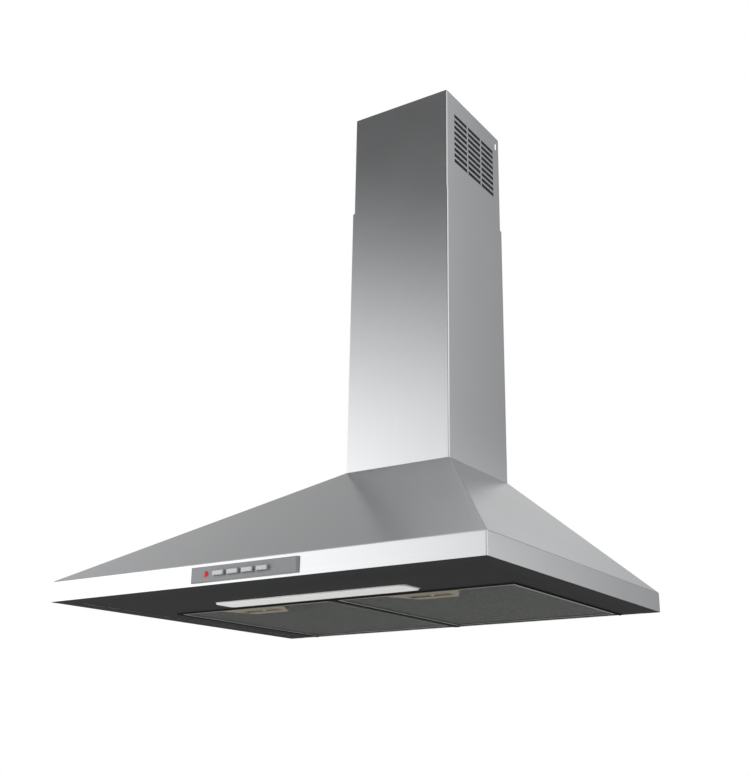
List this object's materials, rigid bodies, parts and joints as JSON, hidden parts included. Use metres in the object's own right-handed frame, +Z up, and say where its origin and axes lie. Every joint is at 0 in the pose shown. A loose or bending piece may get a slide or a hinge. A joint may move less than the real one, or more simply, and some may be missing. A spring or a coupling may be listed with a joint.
{
  "type": "chimney range hood",
  "caption": "Wall-mounted pyramid chimney range hood with telescoping duct cover, hinged grease filters, lamp, control keys and ducted blower.",
  "frame": {"origin": "middle of the hood's back on the wall plane, level with the bottom of the lip", "axes": "+X to the right as seen from the front, +Y into the wall, +Z up"},
  "size_m": [0.6, 0.4766, 0.77],
  "materials": {
    "stainless": "brushed",
    "liner_paint": "satin",
    "zinc_steel": "satin",
    "filter_aluminium": "satin",
    "mesh_aluminium": "matte",
    "latch_plastic": "satin",
    "slide_plastic": "satin",
    "spring_steel": "satin",
    "opal_plastic": "satin",
    "reflector": "gloss",
    "ceramic_white": "matte",
    "bulb_glass": "frosted",
    "bezel_silver": "satin",
    "key_silver": "satin",
    "pilot_red": "gloss",
    "black_plastic": "satin",
    "housing_plastic": "matte",
    "wheel_plastic": "matte",
    "motor_paint": "satin",
    "rubber_black": "matte",
    "spigot_plastic": "matte",
    "white_plastic": "matte"
  },
  "bodies": {
    "canopy": {"canopy_shell": "stainless", "back_panel": "zinc_steel", "hanger_left": "zinc_steel", "hanger_right": "zinc_steel", "levelling_screws": "zinc_steel", "lower_chimney": "stainless", "chimney_feet": "zinc_steel", "underside_liner": "liner_paint", "filter_divider": "liner_paint", "filter_hooks": "liner_paint", "lamp_tray": "reflector", "lampholder_left": "ceramic_white", "lampholder_right": "ceramic_white", "bulb_left": "bulb_glass", "bulb_right": "bulb_glass", "control_bezel": "bezel_silver", "switch_block": "black_plastic", "pilot_lens": "pilot_red", "blower_housing_left": "housing_plastic", "blower_housing_right": "housing_plastic", "housing_screws": "zinc_steel", "motor": "motor_paint", "motor_bracket": "zinc_steel", "grommets": "rubber_black", "motor_screws": "zinc_steel", "blower_plate": "zinc_steel", "outlet_spigot": "spigot_plastic", "flap_pin": "zinc_steel", "plate_screws": "zinc_steel", "outlet_screws": "zinc_steel", "cable_gland": "black_plastic", "terminal_box": "white_plastic", "terminal_cover": "white_plastic", "terminal_strip": "white_plastic", "capacitor": "white_plastic", "capacitor_clip": "zinc_steel"},
    "upper_chimney": {"upper_chimney": "stainless", "louvre_screens": "black_plastic"},
    "light_key": {"light_key": "key_silver"},
    "speed_key_one": {"speed_key_one": "key_silver"},
    "speed_key_two": {"speed_key_two": "key_silver"},
    "speed_key_three": {"speed_key_three": "key_silver"},
    "lamp_cover": {"lamp_cover": "opal_plastic"},
    "impeller": {"impeller": "wheel_plastic", "motor_shaft": "spring_steel", "shaft_nut": "zinc_steel"},
    "flap_left": {"flap_left": "spigot_plastic"},
    "flap_right": {"flap_right": "spigot_plastic"},
    "filter_left": {"filter_frame_left": "filter_aluminium", "filter_mesh_left": "mesh_aluminium", "filter_tabs_left": "filter_aluminium", "latch_housing_left": "latch_plastic", "latch_spring_left": "spring_steel"},
    "latch_left": {"latch_slide_left": "slide_plastic"},
    "filter_right": {"filter_frame_right": "filter_aluminium", "filter_mesh_right": "mesh_aluminium", "filter_tabs_right": "filter_aluminium", "latch_housing_right": "latch_plastic", "latch_spring_right": "spring_steel"},
    "latch_right": {"latch_slide_right": "slide_plastic"}
  },
  "joints": [
    {"name": "upper_chimney_slide", "type": "slide", "parent": "canopy", "child": "upper_chimney", "axis": [0, 0, 1], "range_m": [-0.155, 0.18]},
    {"name": "light_key_press", "type": "slide", "parent": "canopy", "child": "light_key", "axis": [0, 1, 0], "range_m": [0, 0.003], "stiffness_N_per_m": 400, "springref_m": -0.002},
    {"name": "speed_key_one_press", "type": "slide", "parent": "canopy", "child": "speed_key_one", "axis": [0, 1, 0], "range_m": [0, 0.003], "stiffness_N_per_m": 400, "springref_m": -0.002},
    {"name": "speed_key_two_press", "type": "slide", "parent": "canopy", "child": "speed_key_two", "axis": [0, 1, 0], "range_m": [0, 0.003], "stiffness_N_per_m": 400, "springref_m": -0.002},
    {"name": "speed_key_three_press", "type": "slide", "parent": "canopy", "child": "speed_key_three", "axis": [0, 1, 0], "range_m": [0, 0.003], "stiffness_N_per_m": 400, "springref_m": -0.002},
    {"name": "lamp_cover_hinge", "type": "hinge", "parent": "canopy", "child": "lamp_cover", "pos_m": [0, -0.3295, 0.0032], "axis": [1, 0, 0], "range_deg": [0, 75]},
    {"name": "filter_left_hinge", "type": "hinge", "parent": "canopy", "child": "filter_left", "pos_m": [-0.12475, -0.007, 0.006], "axis": [1, 0, 0], "range_deg": [0, 45]},
    {"name": "latch_left_slide", "type": "slide", "parent": "filter_left", "child": "latch_left", "axis": [0, 1, 0], "range_m": [0, 0.006], "stiffness_N_per_m": 400, "springref_m": -0.003, "deforming": ["latch_spring_left"]},
    {"name": "filter_right_hinge", "type": "hinge", "parent": "canopy", "child": "filter_right", "pos_m": [0.12475, -0.007, 0.006], "axis": [1, 0, 0], "range_deg": [0, 45]},
    {"name": "latch_right_slide", "type": "slide", "parent": "filter_right", "child": "latch_right", "axis": [0, 1, 0], "range_m": [0, 0.006], "stiffness_N_per_m": 400, "springref_m": -0.003, "deforming": ["latch_spring_right"]},
    {"name": "impeller_spin", "type": "hinge", "parent": "canopy", "child": "impeller", "pos_m": [0, -0.1255, 0.1005], "axis": [1, 0, 0], "continuous": true},
    {"name": "flap_left_hinge", "type": "hinge", "parent": "canopy", "child": "flap_left", "pos_m": [0, -0.0835, 0.226], "axis": [0, 1, 0], "range_deg": [0, 78]},
    {"name": "flap_right_hinge", "type": "hinge", "parent": "canopy", "child": "flap_right", "pos_m": [0, -0.0835, 0.226], "axis": [0, -1, 0], "range_deg": [0, 78]}
  ]
}
